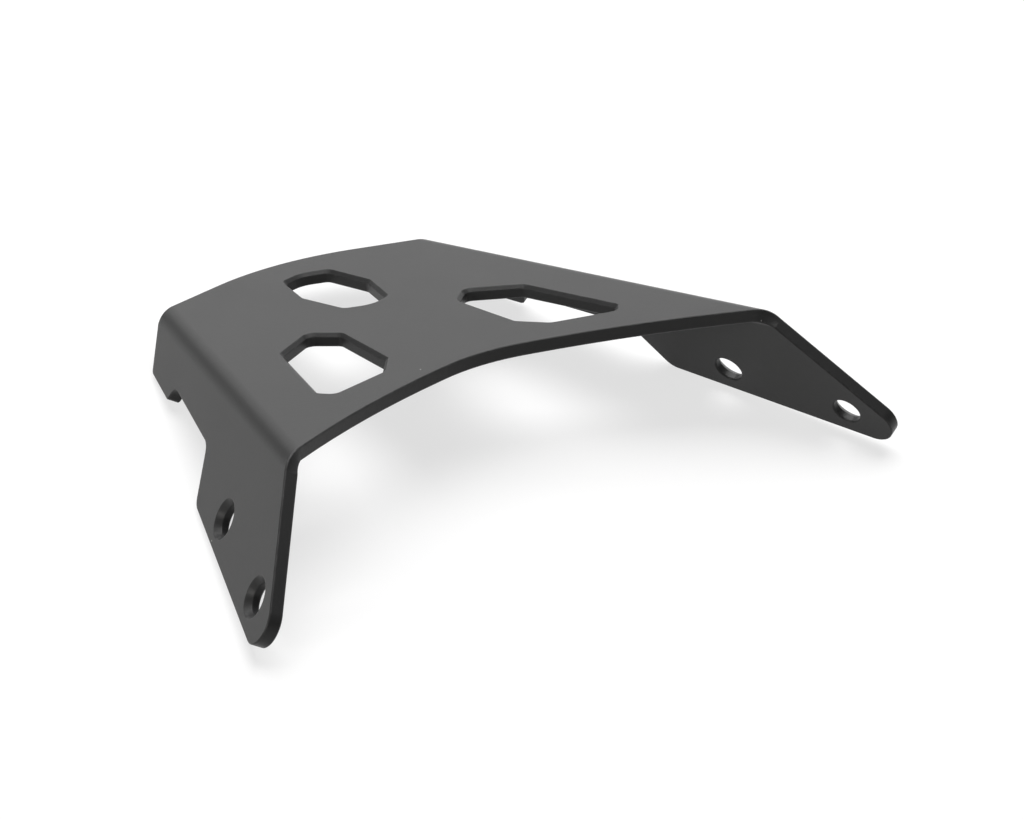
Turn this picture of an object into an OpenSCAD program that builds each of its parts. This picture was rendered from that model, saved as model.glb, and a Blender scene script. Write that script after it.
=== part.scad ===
// Luggage rack for the tail of a motorcycle: one sheet of aluminium, cut to
// outline, drilled, all its edges broken, and bent once along each side.
// The plate tapers to the rear, so the two bend lines run together towards it.
// The rack stands on its two legs and its two rear tabs, with Z = 0 at the
// ground, X across, +Y to the rear and the origin under its middle.

/* [Sheet] */
// Thickness of the sheet
sheet_t = 4.1; // [3:0.1:6]
// Width of the chamfer that breaks every other cut edge
edge_break = 0.3; // [0.2:0.1:0.6]
// Width of the chamfer around the upper rims of the three openings
rim_break = 1.1; // [0.5:0.1:1.4]
// Radius on the inside of each bend
bend_inner_r = 3; // [2:0.5:7]
// Angle that each flange is bent down from the plate
bend_angle = 62; // [52:1:72]

/* [Plate] */
// Length of the plate on its centre line
plate_l = 109.4; // [100:0.2:130]
// Half the width between the sharp bend corners, level with the front edge's middle
bend_half_w = 78; // [74:0.5:95]
// Angle between each bend line and the centre line
taper_angle = 15.9; // [13:0.1:18]
// Angle that each half of the rear edge falls back at
rear_fall = 17.2; // [12:0.2:20]
// Radius at the middle of the rear edge
rear_mid_r = 87; // [60:1:110]
// Angle that the front edge starts forward at, beside its middle
front_start_angle = 14.4; // [12:0.2:17]
// Angle that the front edge reaches at the bends
front_end_angle = 26.4; // [24:0.2:30]
// Radius at the middle of the front edge
front_mid_r = 58; // [40:1:80]
// Radius of each long wing of the front edge
front_wing_r = 315; // [240:5:330]

/* [Centre opening] */
// Distance from the middle of the plate's front edge to the opening's front point
centre_y = 58.8; // [57:0.1:62]
// Length of the opening
centre_l = 37.7; // [34:0.1:40]
// Half width of the opening where it is widest
centre_half_w = 11.5; // [10:0.1:13]
// Half width of the opening's rear end
centre_rear_half_w = 7.9; // [7:0.1:9]
// Half width of the opening's front end
centre_front_half_w = 7.5; // [6.5:0.1:9]
// Length of each blunt point at the ends
centre_point_l = 2.6; // [2:0.1:4]

/* [Side openings] */
// Web left between each side opening and the sharp bend corner
side_web = 21.9; // [20:0.1:24]
// Web left between each side opening and the line of the front edge
side_front_web = 13.2; // [11:0.1:15]
// Distance of the opening's rear point from the centre line
side_rear_x = 28.9; // [27:0.1:31]
// Distance of that point behind the middle of the front edge
side_rear_y = 49; // [46:0.1:51]
// Distance of the inner edge from the centre line, level with the rear point
side_inner_x = 21.3; // [19:0.1:22.5]
// Length of the straight inner edge
side_inner_l = 26.6; // [25:0.1:28]
// Length of the straight outer edge
side_outer_l = 35.2; // [32:0.1:36]

/* [Flanges] */
// Depth of the flange's lower edge at the leg, measured from the sharp bend corner
neck_depth = 18; // [16:0.1:20]
// Distance of the bend in the lower edge behind the middle of the front edge
neck_y = 27.5; // [25:0.1:32]
// Angle at which the lower edge climbs to the rear
lower_edge_rise = 5.7; // [4:0.1:7]
// Distance of the rear tab's front corner behind the middle of the front edge
tab_y = 69.3; // [62:0.1:74]
// Length of the rear tab
tab_l = 20; // [17:0.1:21]
// Height of the step in front of the rear tab
tab_step = 5; // [4.5:0.1:6]
// Depth of the leg's heel below the sharp bend corner
heel_depth = 33.8; // [31:0.1:36]
// Distance of the heel behind the middle of the front edge
heel_y = 17.2; // [14:0.1:19]
// Depth of the point where the two edges of the leg would meet
tip_depth = 51.3; // [49:0.1:56]
// Reach of that point in front of the middle of the front edge, along the bend
tip_reach = 73.2; // [68:0.1:80]
// Radius of the leg's tip
tip_r = 7; // [5:0.1:7.5]
// Angle of the flange's front edge away from square to the bend
front_lean = 41.5; // [38:0.5:45]
// Radius of the heel and of the bend in the lower edge
heel_r = 6; // [3:0.1:7]

/* [Bolt holes] */
// Diameter of the four bolt holes
bolt_hole_d = 9; // [6.6:0.1:9.6]
// Diameter of the chamfer around each hole on the outside
bolt_face_d = 12.4; // [12:0.1:14]
// Distance between the two holes of a flange
bolt_pitch = 41.3; // [36:0.1:46]
// Distance of the holes from the lower edge of the leg
bolt_edge = 9; // [8:0.1:11]
// Distance of the front hole from the point of the leg, along the lower edge
bolt_tip = 28.9; // [27:0.1:33]

/* [Hidden] */

// How far a cutter runs past the face that it cuts
past = 0.2;
// How far a straight edge cutter runs past an end on a bend line
run_out = 3;
// How far an arc and its edge cutter lie outside the true circle, so that they
// cross the straight sides next to them instead of just touching them
wall_overrun = 0.002;
edge_overrun = 0.004;
// Length of flat sheet between each bend and the seam that joins it on
seam = 0.3;
// Number of steps round each bend
bend_steps = 20;
bend_r = bend_inner_r + sheet_t;
// Distance from the sharp bend corner to the start of the bend
setback = bend_r * tan(bend_angle / 2);
// Chamfer where the holes leave the inner face
inner_break = 0.4;

function unit(v) = v / norm(v);
function turned(v) = [-v[1], v[0]];
function xy(p) = [p[0], p[1]];
function crossed(a, b) = a[0] * b[1] - a[1] * b[0];
function heading(v) = atan2(v[1], v[0]);
// Where the line through p along u meets the line through q along v
function meet(p, u, q, v) = p + u * crossed(q - p, v) / crossed(u, v);
function reversed(list) = [for (i = [len(list) - 1:-1:0]) list[i]];
// Fragments of a circle: more on the long flat arcs
function fine(r) = r > 50 ? 360 : 64;

// An outline is a list of [x, y, corner radius], with the metal on its left.
function before(pts, i) = xy(pts[(i + len(pts) - 1) % len(pts)]);
function after(pts, i) = xy(pts[(i + 1) % len(pts)]);
function dir_in(pts, i) = unit(xy(pts[i]) - before(pts, i));
function dir_out(pts, i) = unit(after(pts, i) - xy(pts[i]));
function turn(pts, i) = atan2(
    crossed(dir_in(pts, i), dir_out(pts, i)),
    dir_in(pts, i) * dir_out(pts, i)
);
function cut_back(pts, i) = pts[i][2] * tan(abs(turn(pts, i)) / 2);
function arc_start(pts, i) = xy(pts[i]) - dir_in(pts, i) * cut_back(pts, i);
function arc_end(pts, i) = xy(pts[i]) + dir_out(pts, i) * cut_back(pts, i);
// How far two pieces that meet at an arc's end run on to be past their crossing
function reach(r) = 1.5 * sqrt(2 * r * edge_overrun);
function end_run(pts, i) =
    pts[i][2] == 0 ? run_out : turn(pts, i) > 0 ? reach(pts[i][2]) : 0;
function arc_centre(pts, i) =
    arc_start(pts, i) + turned(dir_in(pts, i)) * pts[i][2] * sign(turn(pts, i));

// What lies between a sharp corner and its arc
module corner_piece(pts, i) {
    start = arc_start(pts, i);
    end = arc_end(pts, i);
    to_corner = xy(pts[i]) - (start + end) / 2;
    out = unit(to_corner) * (norm(to_corner) + 1);
    difference() {
        polygon([start, end, end + out, start + out]);
        translate(arc_centre(pts, i)) circle(r = pts[i][2] + wall_overrun, $fn = fine(pts[i][2]));
    }
}

module outline(pts) {
    corners = [for (i = [0:len(pts) - 1]) if (pts[i][2] > 0) i];
    difference() {
        union() {
            polygon([for (p = pts) xy(p)]);
            for (i = corners) if (turn(pts, i) < 0) corner_piece(pts, i);
        }
        for (i = corners) if (turn(pts, i) > 0) corner_piece(pts, i);
    }
}

// Cutters that break the edges along the given sides of an outline by a width b.
// Side i runs from point i to the next one. They cut the upper edges of a sheet
// whose top is at Z = 0, and flipped, the lower ones of one whose underside is there.
module edge_cutters(pts, sides, b) {
    count = len(pts);
    for (i = sides) {
        next = (i + 1) % count;
        run_in = end_run(pts, i);
        start = arc_end(pts, i);
        length = norm(arc_start(pts, next) - start) + run_in + end_run(pts, next);
        translate(start)
            rotate([0, 0, heading(dir_out(pts, i))])
                translate([-run_in, 0, 0])
                    rotate([90, 0, 90])
                        linear_extrude(length)
                            polygon([[b + past, past], [-past, -b - past], [-past, past]]);
        if (pts[next][2] > 0 && len(search(next, sides)) > 0) {
            r = pts[next][2] + edge_overrun;
            convex = turn(pts, next) > 0;
            side = convex ? -1 : 1;
            from = convex ? arc_start(pts, next) : arc_end(pts, next);
            more = convex ? 0 : reach(r) / r * 180 / PI;
            translate(arc_centre(pts, next))
                rotate([0, 0, heading(from - arc_centre(pts, next)) - more])
                    rotate_extrude(angle = abs(turn(pts, next)) + 2 * more, $fn = fine(r))
                        polygon([
                            [r + side * (b + past), past],
                            [r - side * past, -b - past],
                            [r - side * past, past]
                        ]);
        }
    }
}

// Breaks the edges on both faces of a sheet that lies from Z = 0 down, the upper
// ones by a width of their own
module both_faces_cutters(pts, sides, upper_b) {
    edge_cutters(pts, sides, upper_b);
    translate([0, 0, -sheet_t]) mirror([0, 0, 1]) edge_cutters(pts, sides, edge_break);
}

// Bend frame of the right side: X outwards across the bend, Y along it to the
// rear, and the start of the bend at X = 0.
bend_dir = [-sin(taper_angle), cos(taper_angle)];
bend_out = [cos(taper_angle), sin(taper_angle)];
sharp_origin = [bend_half_w, 0];
bend_origin = sharp_origin - bend_out * setback;
function in_bend_frame(p) = [(p - sharp_origin) * bend_out + setback, (p - sharp_origin) * bend_dir];

// Plate outline, right half first
rear_point = [0, plate_l + rear_mid_r * (1 / cos(rear_fall) - 1)];
rear_dir = [cos(rear_fall), -sin(rear_fall)];
rear_end = meet(rear_point, rear_dir, bend_origin, bend_dir);
front_point = [0, front_mid_r * (1 / cos(front_start_angle) - 1)];
front_dir = [cos(front_start_angle), -sin(front_start_angle)];
// Straight between the middle of the front edge and each wing
front_flat_l = 4;
wing_turn = front_end_angle - front_start_angle;
wing_cut_back = front_wing_r * tan(wing_turn / 2);
wing_corner = front_point + front_dir * (front_mid_r * tan(front_start_angle) + front_flat_l + wing_cut_back);
front_end_dir = [cos(front_end_angle), -sin(front_end_angle)];
front_end = meet(wing_corner, front_end_dir, bend_origin, bend_dir);

// The side edges lie past the bend lines, where the plate is cut off square.
past_front_end = front_end + front_end_dir * run_out;
past_rear_end = rear_end + rear_dir * run_out;
plate_pts = [
    [past_front_end[0], past_front_end[1], 0],
    [past_rear_end[0], past_rear_end[1], 0],
    [rear_point[0], rear_point[1], rear_mid_r],
    [-past_rear_end[0], past_rear_end[1], 0],
    [-past_front_end[0], past_front_end[1], 0],
    [-wing_corner[0], wing_corner[1], front_wing_r],
    [front_point[0], front_point[1], front_mid_r],
    [wing_corner[0], wing_corner[1], front_wing_r]
];
plate_sides = [1, 2, 4, 5, 6, 7];

function direction(angle) = [cos(angle), sin(angle)];
function corner(p, r) = [p[0], p[1], r];

// Centre opening: a long octagon with a blunt point at each end
centre_point_r = 10;
centre_waist_share = 0.49;
centre_right = [
    [0, centre_y, centre_point_r],
    [centre_front_half_w, centre_y + centre_point_l, 2],
    [centre_half_w, centre_y + centre_l * centre_waist_share, 3],
    [centre_rear_half_w, centre_y + centre_l - centre_point_l, 2],
    [0, centre_y + centre_l, centre_point_r]
];
centre_pts = concat(
    centre_right,
    [for (i = [3:-1:1]) [-centre_right[i][0], centre_right[i][1], centre_right[i][2]]]
);

// Side opening on the right: its outer edge runs along the bend line, its front
// edge along the front of the plate, and short edges cut its corners.
side_outer_fall = 31.4;
side_inner_fall = 43.3;
side_inner_splay = 4.4;
side_corner_cut = 51;
side_outer_line = sharp_origin - bend_out * side_web;
side_front_line = front_point + turned(front_dir) * side_front_web;
side_rear = [side_rear_x, side_rear_y];
side_rear_out = meet(side_rear, direction(-side_outer_fall), side_outer_line, bend_dir);
side_rear_in = meet(
    side_rear, direction(180 + side_inner_fall),
    [side_inner_x, side_rear_y], direction(side_inner_splay - 90)
);
side_front_in = side_rear_in + direction(side_inner_splay - 90) * side_inner_l;
side_front_out = side_rear_out - bend_dir * side_outer_l;
side_pts = [
    corner(meet(side_front_in, direction(-side_corner_cut), side_front_line, front_dir), 3),
    corner(meet(side_front_out, direction(side_corner_cut), side_front_line, front_dir), 2.5),
    corner(side_front_out, 1.5),
    corner(side_rear_out, 2),
    corner(side_rear, 3),
    corner(side_rear_in, 2),
    corner(side_front_in, 1.3)
];

// Flange outline, unfolded into the bend frame, from its front edge round the
// leg to its rear edge
function flange_pt(along, depth, r) = [depth - setback, along, r];
lower_dir_rear = [-sin(lower_edge_rise), cos(lower_edge_rise)];
neck = xy(flange_pt(neck_y, neck_depth, 0));
tab_edge = neck + [cos(lower_edge_rise), sin(lower_edge_rise)] * tab_step;
tab_front = meet(tab_edge, lower_dir_rear, [0, tab_y], [1, 0]);
tab_rear = tab_front + lower_dir_rear * tab_l;
tab_front_lean = 24;
tab_rear_lean = 42.5;
notch = meet(neck, lower_dir_rear, tab_front, direction(tab_front_lean));
tip_point = xy(flange_pt(-tip_reach, tip_depth, 0));
front_start = meet(tip_point, direction(180 - front_lean), [0, 0], [0, 1]);
rear_start = meet(tab_rear, direction(180 - tab_rear_lean), [0, 0], [0, 1]);
// The side along the bend lies before it, where the flange is cut off square.
before_front = front_start + unit(front_start - tip_point) * run_out;
before_rear = rear_start + unit(rear_start - tab_rear) * run_out;
flange_pts = [
    corner(before_front, 0),
    corner(tip_point, tip_r),
    flange_pt(heel_y, heel_depth, heel_r),
    corner(neck, heel_r),
    corner(notch, 3.5),
    corner(tab_front, 1.6),
    corner(tab_rear, 3),
    corner(before_rear, 0)
];
flange_sides = [0, 1, 2, 3, 4, 5, 6];

// Bolt holes in the flange outline's frame, in line with the leg's lower edge
leg_edge_dir = unit(xy(flange_pts[2]) - tip_point);
front_hole = tip_point + leg_edge_dir * bolt_tip + turned(leg_edge_dir) * bolt_edge;
hole_points = [front_hole, front_hole + leg_edge_dir * bolt_pitch];

// Front and rear edges where they cross the bend, as their direction in the
// bend frame and their place along the bend line, first at the plate's side and
// then at the flange's side.
front_dirs = [in_bend_frame(front_end) - in_bend_frame(wing_corner), tip_point - front_start];
rear_dirs = [in_bend_frame(rear_end) - in_bend_frame(rear_point), tab_rear - rear_start];
front_ends = [in_bend_frame(front_end)[1], front_start[1]];
rear_ends = [in_bend_frame(rear_end)[1], rear_start[1]];
function inset(dir) = edge_break / abs(unit(dir)[0]);
front_insets = [inset(front_dirs[0]), inset(front_dirs[1])];
rear_insets = [inset(rear_dirs[0]), inset(rear_dirs[1])];
function between(pair, share) = pair[0] + (pair[1] - pair[0]) * share;
function climb(dir, run) = run * dir[1] / dir[0];

// How the rack stands. A disc is a rounded corner of the right flange, as its
// centre and radius; its lowest edge is where its inner chamfer starts.
function folded(p, z) =
    let (
        across = p[0] * cos(bend_angle) + (z + bend_r) * sin(bend_angle),
        height = (z + bend_r) * cos(bend_angle) - p[0] * sin(bend_angle) - bend_r,
        flat = bend_origin + bend_out * across + bend_dir * p[1]
    )
    [flat[0], flat[1], height];
flange_x_dir = [bend_out[0] * cos(bend_angle), bend_out[1] * cos(bend_angle), -sin(bend_angle)];
flange_y_dir = [bend_dir[0], bend_dir[1], 0];
function furthest(disc, z, dir) =
    let (along = [dir * flange_x_dir, dir * flange_y_dir])
    folded([disc[0], disc[1]] + unit(along) * disc[2], z);
inner_edge_z = edge_break - sheet_t;
tip_disc = corner(arc_centre(flange_pts, 1), tip_r);
heel_disc = corner(arc_centre(flange_pts, 2), heel_r);
tab_disc = corner(arc_centre(flange_pts, 6), flange_pts[6][2]);
function down(tilt) = [0, sin(tilt), -cos(tilt)];
function lowest(disc, tilt) = furthest(disc, inner_edge_z, down(tilt));
// A leg stands on its heel or on its tip, whichever is lower
function foot(tilt) =
    let (tip = lowest(tip_disc, tilt), heel = lowest(heel_disc, tilt))
    down(tilt) * tip > down(tilt) * heel ? tip : heel;
function rest_angle(tilt, rounds) =
    let (from = foot(tilt), to = lowest(tab_disc, tilt))
    rounds == 0 ? tilt : rest_angle(atan2(to[2] - from[2], to[1] - from[1]), rounds - 1);
rest_tilt = rest_angle(12, 8);
rest_height = down(rest_tilt) * foot(rest_tilt);
forward = [0, -cos(rest_tilt), -sin(rest_tilt)];
front_reach = max([for (z = [-edge_break, inner_edge_z]) forward * furthest(tip_disc, z, forward)]);
rear_reach = -forward * [0, plate_l, -edge_break];

// One section of the bend, from its outer face round to its inner face. The
// run is how far it lies before or after the bend, along the flat sheet.
function bend_section(share, run = 0) =
    let (
        angle = bend_angle * share,
        front = between(front_ends, share) + (run == 0 ? 0 : climb(front_dirs[share], run)),
        rear = between(rear_ends, share) + (run == 0 ? 0 : climb(rear_dirs[share], run)),
        front_in = front + between(front_insets, share),
        rear_in = rear - between(rear_insets, share),
        profile = [
            [bend_r, front_in],
            [bend_r, rear_in],
            [bend_r - edge_break, rear],
            [bend_inner_r + edge_break, rear],
            [bend_inner_r, rear_in],
            [bend_inner_r, front_in],
            [bend_inner_r + edge_break, front],
            [bend_r - edge_break, front]
        ]
    )
    [
        for (p = profile)
            [p[0] * sin(angle) + run * cos(angle), p[1], p[0] * cos(angle) - run * sin(angle) - bend_r]
    ];
bend_rings = concat(
    [bend_section(0, -2 * seam)],
    [for (k = [0:bend_steps]) bend_section(k / bend_steps)],
    [bend_section(1, 2 * seam)]
);

// The bend with a short flat piece at each side, cut square where the plate and
// the flange meet it
module bend() {
    corners = 8;
    last = (len(bend_rings) - 1) * corners;
    difference() {
        polyhedron(
            points = [for (ring = bend_rings) each ring],
            faces = concat(
                [[for (j = [corners - 1:-1:0]) j]],
                [[for (j = [0:corners - 1]) last + j]],
                [
                    for (k = [0:len(bend_rings) - 2], j = [0:corners - 1])
                        let (
                            a = k * corners + j,
                            b = k * corners + (j + 1) % corners,
                            c = b + corners,
                            d = a + corners
                        )
                        each (j == 0 || j == 4) ? [[a, b, c, d]] : [[a, b, c], [a, c, d]]
                ]
            )
        );
        translate([-seam, 0, 0]) mirror([1, 0, 0]) beyond();
        at_fold() translate([seam, 0, 0]) beyond();
    }
}

// Everything on the outer side of X = 0, to cut sheets square
module beyond() {
    translate([0, -plate_l, -2 * bend_r]) cube([plate_l, 3 * plate_l, 4 * bend_r]);
}

module plate() {
    difference() {
        translate([0, 0, -sheet_t]) linear_extrude(sheet_t) outline(plate_pts);
        both_faces_cutters(plate_pts, plate_sides, edge_break);
        opening(centre_pts);
        for (side = [0, 1]) mirror([side, 0, 0]) {
            opening(side_pts);
            at_bend() translate([-seam, 0, 0]) beyond();
        }
    }
}

// Places what is drawn in the bend frame
module at_bend() {
    translate(bend_origin) rotate([0, 0, taper_angle]) children();
}

// Folds what is drawn unfolded in the bend frame
module at_fold() {
    translate([0, 0, -bend_r]) rotate([0, bend_angle, 0]) translate([0, 0, bend_r]) children();
}

// An opening through the plate, with a wide chamfer on its upper rim
module opening(pts) {
    translate([0, 0, -sheet_t - 1]) linear_extrude(sheet_t + 2) outline(pts);
    both_faces_cutters(reversed(pts), [for (i = [0:len(pts) - 1]) i], rim_break);
}

// A bolt hole, chamfered wide on the outer face and lightly on the inner one
module bolt_hole() {
    hole_r = bolt_hole_d / 2;
    face_break = (bolt_face_d - bolt_hole_d) / 2;
    translate([0, 0, -sheet_t - 1]) cylinder(r = hole_r, h = sheet_t + 2, $fn = 96);
    translate([0, 0, -face_break - past])
        cylinder(r1 = hole_r - past, r2 = hole_r + face_break + past, h = face_break + 2 * past, $fn = 96);
    translate([0, 0, -sheet_t - past])
        cylinder(r1 = hole_r + inner_break + past, r2 = hole_r - past, h = inner_break + 2 * past, $fn = 96);
}

module flange() {
    difference() {
        translate([0, 0, -sheet_t]) linear_extrude(sheet_t) outline(flange_pts);
        both_faces_cutters(flange_pts, flange_sides, edge_break);
        for (p = hole_points) translate(p) bolt_hole();
        translate([seam, 0, 0]) mirror([1, 0, 0]) beyond();
    }
}

// Bend and flange of the right side, folded down along the bend line
module folded_side() {
    at_bend() {
        bend();
        at_fold() flange();
    }
}

module luggage_rack() {
    color("#3a3a3a")
        translate([0, (front_reach - rear_reach) / 2, rest_height])
            rotate([-rest_tilt, 0, 0]) {
                plate();
                folded_side();
                mirror([1, 0, 0]) folded_side();
            }
}

luggage_rack();
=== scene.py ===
import math

import bpy
from mathutils import Matrix, Vector

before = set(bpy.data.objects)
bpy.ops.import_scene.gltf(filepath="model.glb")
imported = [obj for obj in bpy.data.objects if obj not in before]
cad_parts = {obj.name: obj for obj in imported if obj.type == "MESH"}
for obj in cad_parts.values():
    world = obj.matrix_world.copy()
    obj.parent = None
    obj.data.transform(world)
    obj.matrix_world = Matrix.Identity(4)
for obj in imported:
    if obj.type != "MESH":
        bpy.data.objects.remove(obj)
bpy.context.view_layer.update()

# The camera stands in front of the rack's left leg and looks down at it. Lengths are in metres.
cameraView = {
    "location": (-0.57980, -0.75549, 0.58252),
    "lookAt": (0.00417, -0.03348, 0.02020),
    "rollDegrees": 5.609,
    "lensMm": 130.28,
}

# Dark grey powder coat over aluminium
coat = {
    "baseColor": (0.028, 0.028, 0.0281),
    "paleColor": (0.036, 0.036, 0.0361),
    "wornColor": (0.12, 0.12, 0.121),
    "dustColor": (0.34, 0.34, 0.33),
    "roughness": 0.37,
    "roughnessSpread": 0.04,
    "specularLevel": 0.2,
    "grainPerMetre": 3600.0,
    "grainDepth": 0.00003,
    "orangePeelPerMetre": 900.0,
    "orangePeelDepth": 0.000018,
    "edgeWidth": 0.0009,
    "edgeWear": 0.4,
    "specksPerMetre": 230.0,
    "speckSize": 0.055,
    "speckShare": 0.035,
    "edgeRounding": 0.0004,
}

floor = {
    "size": 16.0,
    "color": (0.93, 0.93, 0.93),
    "bounceColor": (0.30, 0.30, 0.293),
    "lift": 0.72,  # share of the floor that stays white in the shadow
}

# Each lamp: where it stands, what it looks at, its width and depth, its power in watts and its colour
lamps = {
    "topLamp": {
        "location": (0.35, 0.6, 1.6),
        "lookAt": (0.0, 0.0, 0.0),
        "size": (1.9, 1.9),
        "power": 56.0,
        "color": (1.0, 1.0, 1.0),
    },
    "leftLamp": {
        "location": (-1.45, -0.2, 0.48),
        "lookAt": (0.0, 0.0, 0.02),
        "size": (0.3, 0.3),
        "power": 5.5,
        "color": (1.0, 0.985, 0.955),
    },
}

# White backdrop low behind the rack, dark above it and beside it on the left, and a dim room in
# front. Heights are the upward part of a direction, from 0 at the horizon to 1 overhead.
sky = {
    "back": 1.66,
    "front": 0.2,
    "turnFrom": -0.2,
    "turnTo": 0.5,
    "gap": 0.02,
    "gapFrom": 0.24,
    "gapTo": 0.36,
    "sideGapFrom": -0.02,
    "sideGapTo": 0.06,
    "sideGapRightDegrees": (15.0, 3.0),
    "sideGapLeftDegrees": (-70.0, -45.0),
}


def newMaterial(name):
    material = bpy.data.materials.new(name)
    material.use_nodes = True
    material.node_tree.nodes.clear()
    return material


def addNode(tree, kind, place, inputs=None, **settings):
    node = tree.nodes.new(kind)
    node.location = place
    for key, value in settings.items():
        setattr(node, key, value)
    for key, value in (inputs or {}).items():
        node.inputs[key].default_value = value
    return node


def addSockets(group, inOut, sockets):
    for name, kind, value in sockets:
        socket = group.interface.new_socket(name=name, in_out=inOut, socket_type="NodeSocket" + kind)
        if value is not None:
            socket.default_value = value


def makeCoatGrain():
    # Height of the powder coat: fine grain over a broader orange peel, in metres
    group = bpy.data.node_groups.new("coatGrain", "ShaderNodeTree")
    addSockets(group, "INPUT", [
        ("Position", "Vector", None),
        ("Grain Per Metre", "Float", 2400.0),
        ("Grain Depth", "Float", 0.00006),
        ("Peel Per Metre", "Float", 620.0),
        ("Peel Depth", "Float", 0.00007),
    ])
    addSockets(group, "OUTPUT", [("Height", "Float", None), ("Grain", "Float", None)])
    start = addNode(group, "NodeGroupInput", (-900, 0))
    end = addNode(group, "NodeGroupOutput", (600, 0))
    grain = addNode(group, "ShaderNodeTexNoise", (-600, 200), {"Detail": 3.0, "Roughness": 0.6})
    peel = addNode(group, "ShaderNodeTexNoise", (-600, -200), {"Detail": 1.0, "Roughness": 0.4})
    grainHeight = addNode(group, "ShaderNodeMath", (-200, 200), operation="MULTIPLY")
    peelHeight = addNode(group, "ShaderNodeMath", (-200, -200), operation="MULTIPLY")
    total = addNode(group, "ShaderNodeMath", (200, 0), operation="ADD")
    link = group.links.new
    link(start.outputs["Position"], grain.inputs["Vector"])
    link(start.outputs["Grain Per Metre"], grain.inputs["Scale"])
    link(start.outputs["Position"], peel.inputs["Vector"])
    link(start.outputs["Peel Per Metre"], peel.inputs["Scale"])
    link(grain.outputs["Fac"], grainHeight.inputs[0])
    link(start.outputs["Grain Depth"], grainHeight.inputs[1])
    link(peel.outputs["Fac"], peelHeight.inputs[0])
    link(start.outputs["Peel Depth"], peelHeight.inputs[1])
    link(grainHeight.outputs[0], total.inputs[0])
    link(peelHeight.outputs[0], total.inputs[1])
    link(total.outputs[0], end.inputs["Height"])
    link(grain.outputs["Fac"], end.inputs["Grain"])
    return group


def makeEdgeWear():
    # Share of wear, from 0 on open faces to 1 on the edges, broken up by noise
    group = bpy.data.node_groups.new("edgeWear", "ShaderNodeTree")
    addSockets(group, "INPUT", [
        ("Position", "Vector", None),
        ("Edge Width", "Float", 0.0009),
        ("Amount", "Float", 0.5),
    ])
    addSockets(group, "OUTPUT", [("Wear", "Float", None)])
    start = addNode(group, "NodeGroupInput", (-1100, 0))
    end = addNode(group, "NodeGroupOutput", (900, 0))
    geometry = addNode(group, "ShaderNodeNewGeometry", (-800, 300))
    bevel = addNode(group, "ShaderNodeBevel", (-800, 0), samples=6)
    facing = addNode(group, "ShaderNodeVectorMath", (-500, 200), operation="DOT_PRODUCT")
    edge = addNode(group, "ShaderNodeMapRange", (-250, 200), {"From Min": 0.995, "From Max": 0.90})
    patches = addNode(group, "ShaderNodeTexNoise", (-500, -200), {"Scale": 190.0, "Detail": 4.0, "Roughness": 0.65})
    broken = addNode(group, "ShaderNodeMapRange", (-250, -200), {"From Min": 0.35, "From Max": 0.65})
    both = addNode(group, "ShaderNodeMath", (100, 0), operation="MULTIPLY")
    amount = addNode(group, "ShaderNodeMath", (400, 0), operation="MULTIPLY")
    link = group.links.new
    link(start.outputs["Edge Width"], bevel.inputs["Radius"])
    link(geometry.outputs["Normal"], facing.inputs[0])
    link(bevel.outputs["Normal"], facing.inputs[1])
    link(facing.outputs["Value"], edge.inputs["Value"])
    link(start.outputs["Position"], patches.inputs["Vector"])
    link(patches.outputs["Fac"], broken.inputs["Value"])
    link(edge.outputs["Result"], both.inputs[0])
    link(broken.outputs["Result"], both.inputs[1])
    link(both.outputs[0], amount.inputs[0])
    link(start.outputs["Amount"], amount.inputs[1])
    link(amount.outputs[0], end.inputs["Wear"])
    return group


def makeDustSpecks():
    # Sparse specks of dust: 1 on a speck and 0 elsewhere
    group = bpy.data.node_groups.new("dustSpecks", "ShaderNodeTree")
    addSockets(group, "INPUT", [
        ("Position", "Vector", None),
        ("Per Metre", "Float", 230.0),
        ("Size", "Float", 0.055),
        ("Share", "Float", 0.035),
    ])
    addSockets(group, "OUTPUT", [("Specks", "Float", None)])
    start = addNode(group, "NodeGroupInput", (-900, 0))
    end = addNode(group, "NodeGroupOutput", (500, 0))
    cells = addNode(group, "ShaderNodeTexVoronoi", (-600, 0))
    draw = addNode(group, "ShaderNodeSeparateColor", (-350, -200))
    small = addNode(group, "ShaderNodeMath", (-100, 100), operation="LESS_THAN")
    chosen = addNode(group, "ShaderNodeMath", (-100, -200), operation="LESS_THAN")
    both = addNode(group, "ShaderNodeMath", (200, 0), operation="MULTIPLY")
    link = group.links.new
    link(start.outputs["Position"], cells.inputs["Vector"])
    link(start.outputs["Per Metre"], cells.inputs["Scale"])
    link(cells.outputs["Distance"], small.inputs[0])
    link(start.outputs["Size"], small.inputs[1])
    link(cells.outputs["Color"], draw.inputs[0])
    link(draw.outputs[0], chosen.inputs[0])
    link(start.outputs["Share"], chosen.inputs[1])
    link(small.outputs[0], both.inputs[0])
    link(chosen.outputs[0], both.inputs[1])
    link(both.outputs[0], end.inputs["Specks"])
    return group


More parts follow.
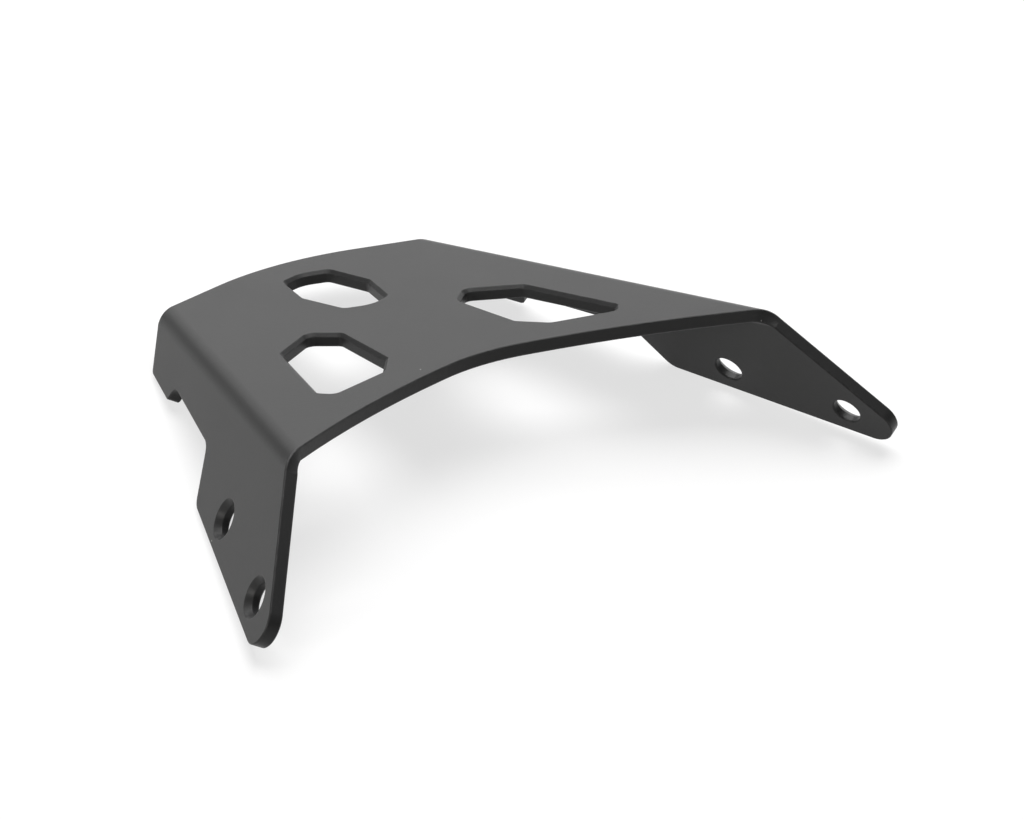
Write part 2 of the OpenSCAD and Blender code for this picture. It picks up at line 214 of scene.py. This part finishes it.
def makeCoatMaterial():
    material = newMaterial("powderCoat")
    tree = material.node_tree
    link = tree.links.new
    output = addNode(tree, "ShaderNodeOutputMaterial", (1200, 0))
    shader = addNode(tree, "ShaderNodeBsdfPrincipled", (900, 0), {
        "Specular IOR Level": coat["specularLevel"],
    })
    position = addNode(tree, "ShaderNodeTexCoord", (-1200, 0))
    grain = addNode(tree, "ShaderNodeGroup", (-800, -300), node_tree=makeCoatGrain())
    wear = addNode(tree, "ShaderNodeGroup", (-800, 300), node_tree=makeEdgeWear())
    grain.inputs["Grain Per Metre"].default_value = coat["grainPerMetre"]
    grain.inputs["Grain Depth"].default_value = coat["grainDepth"]
    grain.inputs["Peel Per Metre"].default_value = coat["orangePeelPerMetre"]
    grain.inputs["Peel Depth"].default_value = coat["orangePeelDepth"]
    wear.inputs["Edge Width"].default_value = coat["edgeWidth"]
    wear.inputs["Amount"].default_value = coat["edgeWear"]
    specks = addNode(tree, "ShaderNodeGroup", (200, 500), node_tree=makeDustSpecks())
    specks.inputs["Per Metre"].default_value = coat["specksPerMetre"]
    specks.inputs["Size"].default_value = coat["speckSize"]
    specks.inputs["Share"].default_value = coat["speckShare"]
    dusty = addNode(tree, "ShaderNodeMix", (550, 300), data_type="RGBA")
    dusty.inputs[7].default_value = (*coat["dustColor"], 1.0)
    cloud = addNode(tree, "ShaderNodeTexNoise", (-800, 0), {"Scale": 38.0, "Detail": 5.0, "Roughness": 0.6})
    tone = addNode(tree, "ShaderNodeMath", (-500, 100), {1: 0.5}, operation="MULTIPLY_ADD")
    tint = addNode(tree, "ShaderNodeMix", (-200, 200), data_type="RGBA")
    tint.inputs[6].default_value = (*coat["baseColor"], 1.0)
    tint.inputs[7].default_value = (*coat["paleColor"], 1.0)
    worn = addNode(tree, "ShaderNodeMix", (200, 200), data_type="RGBA")
    worn.inputs[7].default_value = (*coat["wornColor"], 1.0)
    roughness = addNode(tree, "ShaderNodeMapRange", (200, -100), {
        "To Min": coat["roughness"] - coat["roughnessSpread"],
        "To Max": coat["roughness"] + coat["roughnessSpread"],
    })
    bevel = addNode(tree, "ShaderNodeBevel", (200, -500), {"Radius": coat["edgeRounding"]}, samples=6)
    bump = addNode(tree, "ShaderNodeBump", (500, -300), {"Strength": 1.0, "Distance": 1.0})
    link(position.outputs["Object"], grain.inputs["Position"])
    link(position.outputs["Object"], wear.inputs["Position"])
    link(position.outputs["Object"], cloud.inputs["Vector"])
    link(cloud.outputs["Fac"], tone.inputs[0])
    link(grain.outputs["Grain"], tone.inputs[2])
    tone.inputs[1].default_value = 0.6
    scaled = addNode(tree, "ShaderNodeMapRange", (-350, 100), {"From Min": 0.45, "From Max": 1.15})
    link(tone.outputs[0], scaled.inputs["Value"])
    link(scaled.outputs["Result"], tint.inputs[0])
    link(tint.outputs[2], worn.inputs[6])
    link(wear.outputs["Wear"], worn.inputs[0])
    link(position.outputs["Object"], specks.inputs["Position"])
    link(specks.outputs["Specks"], dusty.inputs[0])
    link(worn.outputs[2], dusty.inputs[6])
    link(dusty.outputs[2], shader.inputs["Base Color"])
    link(cloud.outputs["Fac"], roughness.inputs["Value"])
    link(roughness.outputs["Result"], shader.inputs["Roughness"])
    link(grain.outputs["Height"], bump.inputs["Height"])
    link(bevel.outputs["Normal"], bump.inputs["Normal"])
    link(bump.outputs["Normal"], shader.inputs["Normal"])
    link(shader.outputs[0], output.inputs["Surface"])
    return material


def makeFloorMaterial():
    # White to the eye and in gloss, with a pale shadow, and a softer light back up to the rack
    material = newMaterial("studioFloor")
    tree = material.node_tree
    link = tree.links.new
    output = addNode(tree, "ShaderNodeOutputMaterial", (900, 0))
    path = addNode(tree, "ShaderNodeLightPath", (-700, 400))
    camOrGloss = addNode(tree, "ShaderNodeMath", (-400, 400), operation="MAXIMUM")
    seenRay = addNode(tree, "ShaderNodeMath", (-100, 400), operation="MAXIMUM")
    white = addNode(tree, "ShaderNodeEmission", (-100, 100), {"Color": (1.0, 1.0, 1.0, 1.0), "Strength": 1.0})
    paint = addNode(tree, "ShaderNodeBsdfDiffuse", (-100, -50), {"Color": (*floor["color"], 1.0)})
    bounce = addNode(tree, "ShaderNodeBsdfDiffuse", (200, -200), {"Color": (*floor["bounceColor"], 1.0)})
    seen = addNode(tree, "ShaderNodeMixShader", (200, 0), {"Fac": floor["lift"]})
    both = addNode(tree, "ShaderNodeMixShader", (600, 0))
    link(path.outputs["Is Camera Ray"], camOrGloss.inputs[0])
    link(path.outputs["Is Glossy Ray"], camOrGloss.inputs[1])
    link(camOrGloss.outputs[0], seenRay.inputs[0])
    link(path.outputs["Is Transmission Ray"], seenRay.inputs[1])
    link(paint.outputs[0], seen.inputs[1])
    link(white.outputs[0], seen.inputs[2])
    link(seenRay.outputs[0], both.inputs[0])
    link(bounce.outputs[0], both.inputs[1])
    link(seen.outputs[0], both.inputs[2])
    link(both.outputs[0], output.inputs["Surface"])
    return material


def makeFloor():
    half = floor["size"] / 2
    mesh = bpy.data.meshes.new("floor")
    corners = [(-half, -half, 0), (half, -half, 0), (half, half, 0), (-half, half, 0)]
    mesh.from_pydata(corners, [], [(0, 1, 2, 3)])
    plane = bpy.data.objects.new("floor", mesh)
    bpy.context.scene.collection.objects.link(plane)
    plane.data.materials.append(makeFloorMaterial())


def aim(thing, location, lookAt, rollDegrees=0.0):
    turn = (Vector(lookAt) - Vector(location)).to_track_quat("-Z", "Y").to_matrix().to_4x4()
    thing.matrix_world = Matrix.Translation(location) @ turn @ Matrix.Rotation(math.radians(rollDegrees), 4, "Z")


def makeCamera():
    camera = bpy.data.objects.new("camera", bpy.data.cameras.new("camera"))
    bpy.context.scene.collection.objects.link(camera)
    camera.data.sensor_width = 36.0
    camera.data.lens = cameraView["lensMm"]
    camera.data.clip_start = 0.01
    aim(camera, cameraView["location"], cameraView["lookAt"], cameraView["rollDegrees"])
    bpy.context.scene.camera = camera


def makeLamps():
    for name, lamp in lamps.items():
        light = bpy.data.lights.new(name, "AREA")
        light.shape = "RECTANGLE"
        light.size, light.size_y = lamp["size"]
        light.energy = lamp["power"]
        light.color = lamp["color"]
        holder = bpy.data.objects.new(name, light)
        bpy.context.scene.collection.objects.link(holder)
        aim(holder, lamp["location"], lamp["lookAt"])


def makeSky():
    world = bpy.data.worlds.new("studioSky")
    bpy.context.scene.world = world
    world.use_nodes = True
    tree = world.node_tree
    tree.nodes.clear()
    link = tree.links.new

    def ramp(source, place, fromTo, levels):
        node = addNode(tree, "ShaderNodeMapRange", place, {
            "From Min": fromTo[0],
            "From Max": fromTo[1],
            "To Min": levels[0],
            "To Max": levels[1],
        }, interpolation_type="SMOOTHSTEP")
        link(source, node.inputs["Value"])
        return node.outputs["Result"]

    def join(operation, place, a, b):
        node = addNode(tree, "ShaderNodeMath", place, operation=operation)
        link(a, node.inputs[0])
        link(b, node.inputs[1])
        return node.outputs[0]

    coords = addNode(tree, "ShaderNodeTexCoord", (-1300, 0))
    parts = addNode(tree, "ShaderNodeSeparateXYZ", (-1100, 0))
    link(coords.outputs["Generated"], parts.inputs[0])
    turn = join("ARCTAN2", (-900, -300), parts.outputs["X"], parts.outputs["Y"])
    right = [math.radians(angle) for angle in sky["sideGapRightDegrees"]]
    left = [math.radians(angle) for angle in sky["sideGapLeftDegrees"]]
    backward = ramp(parts.outputs["Y"], (-600, 400), (sky["turnFrom"], sky["turnTo"]), (sky["front"], sky["back"]))
    above = ramp(parts.outputs["Z"], (-600, 150), (sky["gapFrom"], sky["gapTo"]), (0.0, 1.0))
    beside = ramp(parts.outputs["Z"], (-600, -100), (sky["sideGapFrom"], sky["sideGapTo"]), (0.0, 1.0))
    fromRight = ramp(turn, (-600, -350), right, (0.0, 1.0))
    fromLeft = ramp(turn, (-600, -600), left, (0.0, 1.0))
    window = join("MULTIPLY", (-350, -450), fromRight, fromLeft)
    side = join("MULTIPLY", (-150, -250), beside, window)
    dark = join("MAXIMUM", (50, 0), above, side)
    kept = ramp(dark, (250, 0), (0.0, 1.0), (1.0, sky["gap"]))
    level = join("MULTIPLY", (450, 200), backward, kept)
    path = addNode(tree, "ShaderNodeLightPath", (450, 600))
    light = addNode(tree, "ShaderNodeBackground", (650, 100))
    white = addNode(tree, "ShaderNodeBackground", (650, -100), {"Color": (1.0, 1.0, 1.0, 1.0), "Strength": 1.0})
    both = addNode(tree, "ShaderNodeMixShader", (900, 0))
    output = addNode(tree, "ShaderNodeOutputWorld", (1150, 0))
    link(level, light.inputs["Strength"])
    link(path.outputs["Is Camera Ray"], both.inputs[0])
    link(light.outputs[0], both.inputs[1])
    link(white.outputs[0], both.inputs[2])
    link(both.outputs[0], output.inputs["Surface"])


def dressRack():
    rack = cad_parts["luggage_rack"]
    rack.material_slots[0].material = makeCoatMaterial()
    return rack


bpy.context.scene.view_settings.view_transform = "Standard"
makeCamera()
makeFloor()
makeLamps()
makeSky()
print("stage: camera, floor and light made")
dressRack()
print("rack: powder coat on", len(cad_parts), "node")
